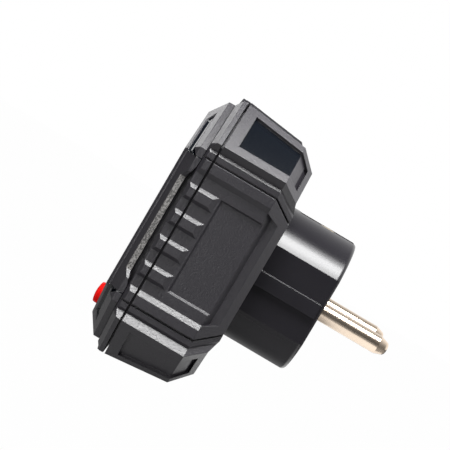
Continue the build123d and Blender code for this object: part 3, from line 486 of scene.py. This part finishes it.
# %% [markdown]
# ## The plug
# The plug comes from a polished mould: satin black, with long soft reflections. A single black
# with one roughness would do from far off, but even clean plastic is never quite even, so a haze
# changes both, and a faint relief breaks the reflections a little.

# %% Plug plastic
PLUG_HAZE = 90.0
PLUG_DARK, PLUG_LIGHT = (0.013, 0.012, 0.015), (0.019, 0.018, 0.022)
PLUG_ROUGHNESS = 0.17
HAZE_ROUGHNESS = 0.06
PLUG_RIPPLES = 900.0
PLUG_RELIEF = 0.01 * MILLIMETRE
PLUG_RELIEF_STRENGTH = 0.4

plug_black = Finish("plug_satin_plastic")
haze = plug_black.noise(PLUG_HAZE, detail=4.0)
plug_black.set(
    base_color=plug_black.blend(haze, PLUG_DARK, PLUG_LIGHT),
    roughness=PLUG_ROUGHNESS + HAZE_ROUGHNESS * haze,
)
ripples = plug_black.noise(PLUG_RIPPLES)
plug_black.relief(ripples, PLUG_RELIEF, PLUG_RELIEF_STRENGTH, EDGE_ROUND)
wear(plug_black, "plug_body")

# %% [markdown]
# ## The pins
# The pins are nickel plated brass, turned on a lathe, so they carry fine rings. Anisotropic gloss
# would show turned metal too, but it needs a direction at every point. Noise that is squeezed
# along the pin gives the rings as a very shallow relief.

# %% Pins
RING_GRAINS = (60.0, 1800.0, 60.0)
TARNISH = 160.0
PIN_LIGHT, PIN_TARNISHED = (0.96, 0.82, 0.68), (0.90, 0.73, 0.57)
PIN_ROUGHNESS = 0.17
RING_ROUGHNESS = 0.08
RING_DEPTH = 0.0004 * MILLIMETRE
RING_STRENGTH = 0.3

pin_metal = Finish("nickel_plated_brass", metallic=1.0)
rings = pin_metal.streaks(RING_GRAINS, detail=2.0)
tarnish = pin_metal.noise(TARNISH, detail=3.0)
pin_metal.set(
    base_color=pin_metal.blend(tarnish, PIN_LIGHT, PIN_TARNISHED),
    roughness=PIN_ROUGHNESS + RING_ROUGHNESS * rings,
)
pin_metal.relief(rings, RING_DEPTH, RING_STRENGTH, EDGE_ROUND)
wear(pin_metal, "live_pin", "neutral_pin")

# %% [markdown]
# ## The button
# The button is plain red plastic, nearly matt, so its colour counts more than its gloss. A
# subsurface shader would let light into the plastic, but on so small a dome it hardly shows. A
# weak gloss and a slight mottle are enough.

# %% Button
BUTTON_GLOSS = 0.12
MOTTLE = 400.0
BUTTON_DARK, BUTTON_LIGHT = (0.95, 0.004, 0.002), (1.0, 0.007, 0.004)
BUTTON_ROUGHNESS = 0.6
MOTTLE_ROUGHNESS = 0.08
BUTTON_PIMPLES = 1500.0
BUTTON_RELIEF = 0.01 * MILLIMETRE
BUTTON_RELIEF_STRENGTH = 0.5

button_red = Finish("button_red_plastic", specular_ior_level=BUTTON_GLOSS)
mottle = button_red.noise(MOTTLE)
button_red.set(
    base_color=button_red.blend(mottle, BUTTON_DARK, BUTTON_LIGHT),
    roughness=BUTTON_ROUGHNESS + MOTTLE_ROUGHNESS * mottle,
)
pimples = button_red.noise(BUTTON_PIMPLES)
button_red.relief(pimples, BUTTON_RELIEF, BUTTON_RELIEF_STRENGTH, EDGE_ROUND)
wear(button_red, "test_button")

# %% [markdown]
# ## Inner parts
# The board and what stands on it can't be seen in a closed case, but the model comes apart on a
# bench, so each gets the finish of its kind: moulded resin, solder mask, plated steel and rolled
# brass. Each could be built by hand, but what differs is only tone, gloss and grain, so one
# function makes the plastics from a table, and another the metals.

# %% Moulded plastics
MOULDED_ROUGHNESS_CHANGE = 0.1
MOULDED_RELIEF = 0.01 * MILLIMETRE
MOULDED_RELIEF_STRENGTH = 0.5


def moulded(name, dark, light, roughness, grains):
    """A moulded plastic with a faint grain and a slight change of tone."""
    finish = Finish(name)
    tone = finish.noise(grains)
    finish.set(
        base_color=finish.blend(tone, dark, light),
        roughness=roughness + MOULDED_ROUGHNESS_CHANGE * tone,
    )
    finish.relief(tone, MOULDED_RELIEF, MOULDED_RELIEF_STRENGTH)
    return finish


INDICATORS = ("led_left", "led_middle", "led_right")
GREEN_LENSES = ("lens_middle", "lens_right")
SWITCH = ("test_switch", "switch_plunger")
CAPACITOR = ("supply_capacitor",)
RESISTORS = ("load_resistor_upper", "load_resistor_lower")
CHIP = ("controller_chip",)
MOULDED_PARTS = (
    # nodes, then the finish: name, dark tone, light tone, roughness, grains to a metre
    (("front_panel",), "panel_grey_film", (0.060, 0.064, 0.070), (0.072, 0.076, 0.083), 0.42, 700),
    (("lcd_holder",), "milky_light_guide", (0.70, 0.72, 0.70), (0.80, 0.82, 0.80), 0.35, 700),
    (("lcd_module",), "display_grey_glass", (0.30, 0.34, 0.27), (0.34, 0.38, 0.31), 0.18, 120),
    (INDICATORS, "lamp_clear_resin", (0.66, 0.66, 0.58), (0.78, 0.78, 0.70), 0.15, 700),
    (("lens_left",), "lens_frosted_red", (0.42, 0.05, 0.04), (0.52, 0.08, 0.06), 0.30, 700),
    (GREEN_LENSES, "lens_frosted_green", (0.10, 0.30, 0.12), (0.15, 0.38, 0.17), 0.30, 700),
    (SWITCH, "switch_black_resin", (0.020, 0.020, 0.020), (0.032, 0.032, 0.032), 0.45, 700),
    (("main_board",), "board_green_mask", (0.012, 0.110, 0.045), (0.020, 0.150, 0.060), 0.28, 200),
    (CAPACITOR, "capacitor_yellow_resin", (0.55, 0.40, 0.05), (0.66, 0.50, 0.08), 0.40, 700),
    (RESISTORS, "resistor_grey_cement", (0.20, 0.25, 0.28), (0.28, 0.33, 0.36), 0.60, 700),
    (("fuse",), "fuse_brown_resin", (0.060, 0.035, 0.025), (0.085, 0.050, 0.038), 0.40, 700),
    (CHIP, "chip_black_resin", (0.018, 0.018, 0.018), (0.028, 0.028, 0.028), 0.55, 700),
)

for nodes, *values in MOULDED_PARTS:
    wear(moulded(*values), *nodes)

# %% [markdown]
# ### Screws and contact strips
# Screws are turned from plated steel and the contacts are cut from rolled brass, so both carry a
# fine grain that runs one way. It is made as the pins' rings are, only deeper.

# %% Rolled and turned metals
ROLLED_ROUGHNESS_CHANGE = 0.15
ROLLED_RELIEF = 0.004 * MILLIMETRE
ROLLED_RELIEF_STRENGTH = 0.6


def rolled_metal(name, dark, light, roughness, grains_each_way):
    """A metal with a fine grain that runs along its rolling or turning direction."""
    finish = Finish(name, metallic=1.0)
    streaks = finish.streaks(grains_each_way, detail=3.0)
    finish.set(
        base_color=finish.blend(streaks, dark, light),
        roughness=roughness + ROLLED_ROUGHNESS_CHANGE * streaks,
    )
    finish.relief(streaks, ROLLED_RELIEF, ROLLED_RELIEF_STRENGTH)
    return finish


STEEL_DARK, STEEL_LIGHT = (0.42, 0.42, 0.43), (0.56, 0.56, 0.57)
STEEL_ROUGHNESS = 0.26
STEEL_GRAINS = (900.0, 900.0, 4000.0)
BRASS_DARK, BRASS_LIGHT = (0.72, 0.52, 0.22), (0.80, 0.62, 0.32)
BRASS_ROUGHNESS = 0.24
BRASS_GRAINS = (400.0, 4000.0, 400.0)
EARTH_PARTS = ("earth_bridge", "earth_clip_upper", "earth_clip_lower")

plated_steel = rolled_metal(
    "plated_steel", STEEL_DARK, STEEL_LIGHT, STEEL_ROUGHNESS, STEEL_GRAINS
)
wear(plated_steel, "board_screws", "housing_screws", "plug_screws")
rolled_brass = rolled_metal(
    "rolled_brass", BRASS_DARK, BRASS_LIGHT, BRASS_ROUGHNESS, BRASS_GRAINS
)
wear(rolled_brass, "live_strip", "neutral_strip", *EARTH_PARTS)

# %% [markdown]
# ## The display's window
# The window over the display is clear acrylic. Alpha would make it see-through at less cost, but
# then it wouldn't bend or mirror light. So it transmits, and faint smears keep it from looking
# like a hole.

# %% Display window
ACRYLIC_ROUGHNESS = 0.04
ACRYLIC_IOR = 1.49
SMEARS = 70.0
CLEAR_TINT, SMEARED_TINT = (0.90, 0.92, 0.92), (0.84, 0.87, 0.87)
SMEAR_RELIEF = 0.004 * MILLIMETRE
SMEAR_STRENGTH = 0.3

clear_window = Finish(
    "clear_window", roughness=ACRYLIC_ROUGHNESS, transmission_weight=1.0, ior=ACRYLIC_IOR
)
smear = clear_window.noise(SMEARS, detail=3.0)
clear_window.set(base_color=clear_window.blend(smear, CLEAR_TINT, SMEARED_TINT))
clear_window.relief(smear, SMEAR_RELIEF, SMEAR_STRENGTH)
wear(clear_window, "display_window")
